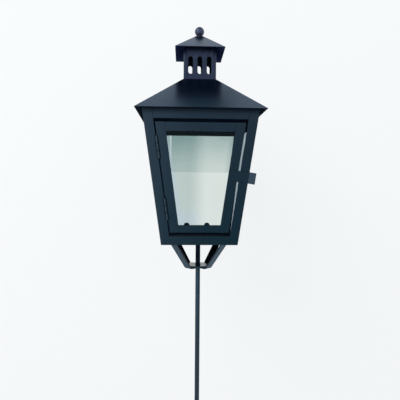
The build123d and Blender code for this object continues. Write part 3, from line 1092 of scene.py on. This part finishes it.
@dataclass
class Bracket(Assembly):
    """The stake, its stem, the collar and the four straps, with the weld beads between them."""

    finish: Material
    rod_finish: Material
    dull: Material
    strap_edge: float = 0.00045
    collar_edge: float = 0.0003
    rod_edge: float = 0.0003
    strap_width: float = 0.0147
    corner_turn: float = 45.0
    low_foot: Span = (0.0112, 0.0170)
    high_foot: Span = (0.0620, 0.0725)
    stem_radius: float = 0.0040
    bead_radius: float = 0.0010
    bead_pitch: float = 0.0011
    bead_unevenness: float = 0.18
    bead_seed: int = 7
    ring_points: int = 24

    def build(self) -> None:
        """Build the bracket and the stake."""
        self.coat("stake", self.rod_edge, self.rod_finish)
        self.coat("stake_stem", self.rod_edge, self.dull)
        self.coat("strap_collar", self.collar_edge, self.finish)
        for corner in CORNERS:
            self.coat(f"strap_{corner}", self.strap_edge, self.finish)
        beads = WeldBeads().grow("strap_weld_beads", self._seams(), {
            "Pitch": self.bead_pitch,
            "Radius": self.bead_radius,
            "Unevenness": self.bead_unevenness,
            "Seed": self.bead_seed,
            "Finish": self.dull,
        })
        self.seat(beads)

    def _seams(self) -> Mesh:
        """Draw the lines that the beads follow: both edges of each strap's feet, and the stem's ends.

        Returns:
            The lines, as a mesh of bare edges.
        """
        shape = bmesh.new()
        collar_low, collar_top = (corner.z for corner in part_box("strap_collar"))
        floor_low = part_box("floor_plate")[0].z
        for side in Side:
            turn = Matrix.Rotation(radians(side.value + self.corner_turn), 3, "Z")
            for level, foot in ((collar_low, self.low_foot), (floor_low, self.high_foot)):
                for edge in (-self.strap_width / 2, self.strap_width / 2):
                    shape.edges.new([shape.verts.new(turn @ Vector((x, edge, level))) for x in foot])
        for level in (collar_top, floor_low):
            turns = [2 * pi * step / self.ring_points for step in range(self.ring_points)]
            start = Vector((self.stem_radius, 0, level))
            ring = [shape.verts.new(Matrix.Rotation(turn, 3, "Z") @ start) for turn in turns]
            for ends in zip(ring, ring[1:] + ring[:1]):
                shape.edges.new(ends)
        return mesh_of("strap_seams", shape)


@dataclass
class BodyFrame(Assembly):
    """The four posts, the eight rails and the floor plate."""

    finish: Material
    dull: Material
    post_dull: Material
    strip_edge: float = 0.0001
    seam_edge: float = 0.0004

    def build(self) -> None:
        """Build the frame."""
        for corner in CORNERS:
            self.shade_and_soot(self.coat(f"post_{corner}", self.strip_edge, self.finish), self.post_dull)
        for side in Side:
            for rail, edge in (("bottom_rail", self.strip_edge), ("top_rail", self.seam_edge)):
                self.shade_and_soot(self.coat(f"{rail}_{side.name.lower()}", edge, self.finish), self.dull)
        self.coat("floor_plate", self.strip_edge, self.dull)


@dataclass
class RoofStack(Assembly):
    """The hipped roof, the vented cupola and its cap."""

    finish: Material
    cupola_finish: Material
    dull: Material
    cap_dull: Material
    roof_edge: float = 0.0002
    cap_edge: float = 0.00035
    vent_edge: float = 0.00018
    sheet: float = 0.0012
    fold_radius: float = 0.0015
    vent_width: float = 0.0075
    vent_height: float = 0.0280
    vent_pitch: float = 0.0151
    vent_sill: float = 0.0083
    vents: int = 3

    def build(self) -> None:
        """Build the roof, the cupola and the cap."""
        self.shade_and_soot(self.coat("roof", self.roof_edge, self.finish), self.dull)
        self.shade_and_soot(self.coat("cupola_cap", self.cap_edge, self.finish), self.cap_dull)
        low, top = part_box("cupola")
        vent_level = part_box("roof")[1].z + self.vent_sill + self.vent_height / 2
        name = "vented_cupola"
        cupola = VentedShell().grow(name, bpy.data.meshes.new(name), {
            "Width": top.x - low.x,
            "Sheet": self.sheet,
            "Fold Radius": self.fold_radius,
            "Low": low.z,
            "Top": top.z,
            "Vent Width": self.vent_width,
            "Vent Height": self.vent_height,
            "Vent Pitch": self.vent_pitch,
            "Vent Level": vent_level,
            "Vents": self.vents,
            "Finish": self.cupola_finish,
        })
        shape = welded(cupola.data)
        break_edges(shape, self.vent_edge)
        cupola.data = mesh_of(name, shape, self.cupola_finish)
        self.shade_and_soot(self.seat(cupola, "cupola"), self.dull)


@dataclass
class Finial(Assembly):
    """The ball on its stud, with the washer and nut that hold it under the cap."""

    coat_finish: Material
    plate_finish: Material
    ball_edge: float = 0.00025
    nut_edge: float = 0.0002

    def build(self) -> None:
        """Build the finial."""
        self.coat("finial_ball", self.ball_edge, self.coat_finish)
        for node in ("finial_washer", "finial_nut"):
            self.coat(node, self.nut_edge, self.plate_finish, slot=Slot.PLATED)


@dataclass
class ClipForm:
    """A glass clip: a foot on the strip, a step past the glass, and a round-ended tab behind it."""

    width: float = 0.0090
    sheet: float = 0.0010
    foot: float = 0.0035
    glass: float = 0.0020
    clearance: float = 0.0001
    bend: float = 0.0006
    end_flat: float = 0.0003
    low_reach: float = 0.0074
    top_reach: float = 0.0030
    bend_steps: int = 4
    end_steps: int = 8

    def prototype(self, name: str, reach: float) -> Object:
        """Build one clip with x across it, y towards the tab's end and z outwards.

        Args:
            name: The clip's name.
            reach: How far the tab reaches past the edge of the glass.

        Returns:
            The clip at the origin, as a pattern for the rows.
        """
        step = -self.clearance - self.sheet / 2
        tab = -self.glass - self.clearance - self.sheet / 2
        on, inwards, outwards = Vector((1, 0)), Vector((0, -1)), Vector((0, 1))
        foot_end = Vector((-self.clearance - self.foot, -self.sheet / 2))
        line = [(foot_end, outwards, self.width / 2)]
        line += self._bend(Vector((step, -self.sheet / 2)), on, inwards)
        line += self._bend(Vector((step, tab)), inwards, on)
        radius = min((self.width - self.end_flat) / 2, reach)
        for count in range(self.end_steps + 1):
            turn = pi / 2 * count / self.end_steps
            spot = Vector((reach - radius * (1 - sin(turn)), tab))
            line.append((spot, outwards, self.width / 2 - radius * (1 - cos(turn))))
        return new_object(name, self._sheet(name, line))

    def _bend(self, corner: Vector, into: Vector, out: Vector) -> Ribs:
        """Work out the points of a bend.

        Args:
            corner: The corner that the bend rounds off, in the middle of the sheet.
            into: The direction of the run before it.
            out: The direction of the run after it.

        Returns:
            Each point with the sheet's normal there and half of the width.
        """
        points = []
        for count in range(self.bend_steps + 1):
            turn = pi / 2 * count / self.bend_steps
            centre = corner - into * self.bend + out * self.bend
            spoke = into * sin(turn) - out * cos(turn)
            heading = into * cos(turn) + out * sin(turn)
            points.append((centre + spoke * self.bend, Vector((-heading.y, heading.x)), self.width / 2))
        return points

    def _sheet(self, name: str, line: Ribs) -> Mesh:
        """Give a bent line its width and the sheet's thickness.

        Args:
            name: The mesh's name.
            line: Each point with the sheet's normal there and half of the width.

        Returns:
            The closed mesh.
        """
        shape = bmesh.new()
        rings = []
        for spot, normal, half in line:
            front = spot + normal * self.sheet / 2
            back = spot - normal * self.sheet / 2
            corners = ((-half, front), (half, front), (half, back), (-half, back))
            rings.append([shape.verts.new((across, point.x, point.y)) for across, point in corners])
        for first, second in zip(rings, rings[1:]):
            for one, other in ((0, 1), (1, 2), (2, 3), (3, 0)):
                shape.faces.new((first[one], first[other], second[other], second[one]))
        shape.faces.new(rings[0])
        shape.faces.new(reversed(rings[-1]))
        bmesh.ops.recalc_face_normals(shape, faces=shape.faces)
        return mesh_of(name, shape)


@dataclass
class Glazing(Assembly):
    """The three fixed panes, the door's pane and the clips that hold all four."""

    form: BodyForm
    clip: ClipForm
    coat_finish: Material
    side_glass: Material
    rear_glass: Material
    door_glass: Material
    glass_edge: float = 0.0003
    pane_low: float = 0.0099
    pane_top: float = 0.1926
    door_pane_low: float = 0.0276
    door_pane_top: float = 0.1775
    door_depth: float = 0.0012
    spacing: float = 0.0315
    door_offset: float = -0.0044

    def build(self) -> None:
        """Build the panes and the clips."""
        panes = {"left": self.side_glass, "right": self.side_glass, "rear": self.rear_glass}
        for side, glass in panes.items():
            self.coat(f"pane_{side}", self.glass_edge, glass, slot=Slot.GLASS)
        self.coat("door_pane", self.glass_edge, self.door_glass, Body.DOOR, Slot.GLASS)
        fixed = [
            spot
            for side in (Side.LEFT, Side.RIGHT, Side.REAR)
            for spot in self._spots(self.pane_low, self.pane_top, 0.0, self.form.strip, side)
        ]
        hung = self._spots(self.door_pane_low, self.door_pane_top, self.door_offset,
                           self.door_depth, Side.FRONT)
        row = ClipRow()
        patterns = {
            "Low Clip": self.clip.prototype("low_clip_pattern", self.clip.low_reach),
            "Top Clip": self.clip.prototype("top_clip_pattern", self.clip.top_reach),
        }
        values = patterns | {"Finish": self.coat_finish}
        fixed_clips = row.grow("glass_clips", self._points("clip_spots", fixed), values)
        door_clips = row.grow("door_glass_clips", self._points("door_clip_spots", hung), values)
        for pattern in patterns.values():
            bpy.data.objects.remove(pattern)
        self.seat(fixed_clips, "pane_clips_left", "pane_clips_right", "pane_clips_rear")
        self.seat(door_clips, "door_pane_clips", body=Body.DOOR)

    def _spots(self, low: float, top: float, offset: float, depth: float, side: Side) -> Spots:
        """Work out the frames of one pane's four clips.

        Args:
            low: The height of the pane's lower edge.
            top: The height of its upper edge.
            offset: How far the clips stand off the middle of the side.
            depth: How far the pane lies behind the outer face.
            side: The side of the body.

        Returns:
            Each clip's frame, and whether it is at the top.
        """
        half_turn = Matrix.Rotation(pi, 4, "Z")
        spots = []
        for across in (offset - self.spacing / 2, offset + self.spacing / 2):
            spots.append((self.form.frame_at(low, across, depth, side), False))
            spots.append((self.form.frame_at(top, across, depth, side) @ half_turn, True))
        return spots

    def _points(self, name: str, spots: Spots) -> Mesh:
        """Make a mesh of bare points that carry their turns.

        Args:
            name: The mesh's name.
            spots: The frames, and which of them are at the top.

        Returns:
            The mesh.
        """
        mesh = bpy.data.meshes.new(name)
        mesh.from_pydata([spot.translation for spot, _ in spots], [], [])
        turns = mesh.attributes.new("turn", "FLOAT_VECTOR", "POINT")
        tops = mesh.attributes.new("at_top", "BOOLEAN", "POINT")
        for index, (spot, at_top) in enumerate(spots):
            turns.data[index].vector = spot.to_euler()
            tops.data[index].value = at_top
        return mesh


@dataclass
class Door(Assembly):
    """The door's two stiles, two rails and latch strip."""

    finish: Material
    strip_edge: float = 0.0001
    seam_edge: float = 0.0004
    latch_edge: float = 0.0003

    def build(self) -> None:
        """Build the door's steel."""
        for node in ("door_stile_left", "door_stile_right", "door_bottom_rail"):
            self.coat(node, self.strip_edge, self.finish, Body.DOOR)
        self.coat("door_top_rail", self.seam_edge, self.finish, Body.DOOR)
        self.coat("latch_strip", self.latch_edge, self.finish, Body.DOOR)


@dataclass
class Hinges(Assembly):
    """The two hinges: the leaves on the post and on the door, and the pins."""

    finish: Material
    leaf_edge: float = 0.00035

    def build(self) -> None:
        """Build the hinges."""
        bodies = {"frame_leaf": Body.LANTERN, "pin": Body.LANTERN, "door_leaf": Body.DOOR}
        for place in ("upper", "lower"):
            for piece, body in bodies.items():
                self.coat(f"hinge_{piece}_{place}", self.leaf_edge, self.finish, body)


@dataclass
class Viewpoint:
    """The camera at the photograph's viewing angle."""

    position: Point = (-0.0263, -0.6795, 0.6327)
    heading: float = radians(2.465)
    dip: float = radians(1.674)
    roll: float = radians(0.438)
    focal_pixels: float = 398.3

    def build(self) -> None:
        """Make the camera and give it to the scene."""
        lens = bpy.data.cameras.new("viewpoint")
        lens.sensor_width = SENSOR_WIDTH
        lens.lens = self.focal_pixels / PHOTO_PIXELS * SENSOR_WIDTH
        camera = new_object("viewpoint", lens)
        turn = Quaternion((0, 0, 1), -self.heading) @ Quaternion((1, 0, 0), pi / 2 - self.dip)
        camera.rotation_mode = "QUATERNION"
        camera.rotation_quaternion = turn @ Quaternion((0, 0, 1), self.roll)
        camera.location = self.position
        bpy.context.scene.camera = camera


@dataclass
class Studio:
    """The pale floor and wall, the cards that only mirror, the lamp and the room's light."""

    wall_y: float = 0.20
    wall_half: float = 3.0
    wall_top: float = 3.0
    floor_half: float = 3.0
    floor_front: float = -1.5
    front_y: float = -2.6
    front_half: float = 3.2
    front_low: float = -2.0
    front_top: float = 0.66
    card_y: float = 0.19
    card_half: float = 1.5
    card_low: float = 1.10
    card_top: float = 2.9
    ceiling_half: float = 0.6
    ceiling_front: float = -1.6
    ceiling_level: float = 2.0
    ceiling_colour: Colour = (0.05, 0.08, 0.12)
    low_card_top: float = 0.45
    low_card_colour: Colour = (0.50, 0.70, 0.86)
    over_half: float = 1.2
    over_top: float = 2.2
    over_colour: Colour = (1.02, 1.03, 1.45)
    wall_colour: Colour = (0.925, 0.945, 0.955)
    floor_colour: Colour = (0.90, 0.91, 0.92)
    wall_matt: float = 0.28
    wall_glow: float = 0.83
    floor_matt: float = 0.50
    floor_glow: float = 0.42
    room_colour: Colour = (0.94, 0.96, 0.97)
    sky_colour: Colour = (0.98, 1.04, 1.12)
    shown_level: float = 1.0
    light_level: float = 0.50
    key_place: Point = (-1.7, -1.7, 2.4)
    key_size: float = 1.8
    key_power: float = 36.0
    aim: Point = (0.0, 0.0, 0.68)

    def build(self) -> None:
        """Build the stage and light it."""
        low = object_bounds()[0].z
        wall_paper = StagePaper("wall", self.wall_colour, self.wall_matt, self.wall_glow)
        floor_paper = StagePaper("floor", self.floor_colour, self.floor_matt, self.floor_glow)
        ceiling = PlainCard("ceiling_card", self.ceiling_colour)
        below = PlainCard("low_card", self.low_card_colour)
        over = PlainCard("over_card", self.over_colour)
        papers = [
            self._upright(wall_paper, self.wall_y, self.wall_half, low, self.wall_top),
            self._level(floor_paper, low, self.floor_half, self.floor_front),
        ]
        cards = [
            self._upright(GradedCard(), self.front_y, self.front_half, self.front_low, self.front_top),
            self._upright(DarkBand(), self.card_y, self.card_half, self.card_low, self.card_top),
            self._level(ceiling, self.ceiling_level, self.ceiling_half, self.ceiling_front),
            self._upright(below, self.card_y, self.card_half, low, self.low_card_top),
            self._upright(over, self.front_y, self.over_half, self.front_top, self.over_top),
        ]
        for card in cards:
            card.visible_camera = False
            card.visible_diffuse = False
            card.visible_shadow = False
            card.visible_transmission = False
        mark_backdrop(*papers, *cards)
        self._room()
        self._lamp()

    def _upright(self, finish: Finish, y: float, half: float, low: float, top: float) -> Object:
        """A sheet of the stage that stands across the view."""
        return self._sheet(finish, [(-half, y, low), (half, y, low), (half, y, top), (-half, y, top)])

    def _level(self, finish: Finish, z: float, half: float, front: float) -> Object:
        """A sheet of the stage that lies level, from a front edge back to the wall."""
        back = self.wall_y
        return self._sheet(finish, [(-half, front, z), (half, front, z), (half, back, z), (-half, back, z)])

    def _sheet(self, finish: Finish, corners: list[Point]) -> Object:
        """Lay one flat sheet of the stage.

        Args:
            finish: The sheet's finish, which names it too.
            corners: Its four corners, round the side that it shows.

        Returns:
            The sheet.
        """
        mesh = bpy.data.meshes.new(finish.name)
        mesh.from_pydata(corners, [], [(0, 1, 2, 3)])
        mesh.materials.append(finish.material())
        return new_object(finish.name, mesh)

    def _room(self) -> None:
        """Light the scene from all round by the world, and set how it is shown."""
        world = bpy.data.worlds.new("room")
        bpy.context.scene.world = world
        room = Shader(world)
        level = room.shown() * (self.shown_level - self.light_level) + self.light_level
        mirrored = room.node("ShaderNodeLightPath", output="Is Glossy Ray")
        colour = room.blend(mirrored, self.room_colour, self.sky_colour)
        light = room.node("ShaderNodeBackground", None, {"Color": colour, "Strength": level})
        room.node("ShaderNodeOutputWorld", None, {"Surface": light})
        bpy.context.scene.view_settings.view_transform = "Standard"

    def _lamp(self) -> None:
        """Set up a square soft lamp that faces the lantern."""
        light = bpy.data.lights.new("key_lamp", "AREA")
        light.size = self.key_size
        light.energy = self.key_power
        lamp = new_object("key_lamp", light)
        lamp.location = self.key_place
        lamp.rotation_mode = "QUATERNION"
        lamp.rotation_quaternion = (Vector(self.aim) - Vector(self.key_place)).to_track_quat("-Z", "Y")


def main() -> None:
    """Build the camera, the stage and every sub-assembly."""
    logging.basicConfig(level=logging.INFO, format="%(name)s: %(message)s")
    steel = PowderCoat().material()
    frame_steel = PowderCoat("frame_coat", eave_painted_shade=0.8, ledge_darkening=0.95, barrel_painted_shade=0.9).material()
    # The hinge coat's lighter colour is a painted highlight on the knuckles, and its flanks take painted
    # shade.
    hinge_steel = PowderCoat("hinge_coat", deep=(0.014, 0.022, 0.034), light=(0.030, 0.044, 0.060),
                             flank_painted_shade=0.95, joint_grime=0.9).material()
    ball_steel = PowderCoat("ball_coat", deep=(0.050, 0.049, 0.106), light=(0.064, 0.062, 0.126)).material()
    rod_steel = PowderCoat("rod_coat", deep=(0.011, 0.023, 0.040), light=(0.017, 0.032, 0.052),
                           peel_depth=4.0e-7, sway_depth=0.0).material()
    cupola_steel = PowderCoat("cupola_coat", deep=(0.0036, 0.0036, 0.0240), light=(0.0046, 0.0056, 0.0280),
                              roughness=0.40, sway_depth=5.0e-5).material()
    shade_and_soot = MattBlack().material()
    # The cap's underside is a lighter blue than the other dull faces: painted light under the cap.
    cap_painted_light = MattBlack("sooted_cap", deep=(0.042, 0.074, 0.200), light=(0.062, 0.102, 0.270)).material()
    # A darker dull finish for the floor plate and for the rails' undersides and inner faces.
    floor_and_rail_dark = MattBlack("sooted_floor", deep=(0.0020, 0.0060, 0.0140),
                           light=(0.0040, 0.0100, 0.0200)).material()
    zinc = PlatedSteel().material()
    side_glass = FilmedGlass("side_glass", film=0.05, slant_film=0.42, smoke=(0.33, 0.48, 0.58),
                             gloss=0.7).material()
    rear_glass = FilmedGlass("rear_glass").material()
    # The door glass's film, shade step and highlight line paint the shade and light of the wall seen through
    # the glass.
    door_glass = FilmedGlass("door_glass", film=0.385, left_film=0.25, shade_step_film=0.14, right_film=0.09,
                             highlight_line=1.0, blue_band=1.0).material()
    Viewpoint().build()
    Studio().build()
    Bracket(steel, rod_steel, shade_and_soot).build()
    BodyFrame(frame_steel, floor_and_rail_dark, shade_and_soot).build()
    RoofStack(steel, cupola_steel, shade_and_soot, cap_painted_light).build()
    Finial(ball_steel, zinc).build()
    Glazing(BodyForm(), ClipForm(), steel, side_glass, rear_glass, door_glass).build()
    Door(frame_steel).build()
    Hinges(hinge_steel).build()


if __name__ == "__main__":
    main()
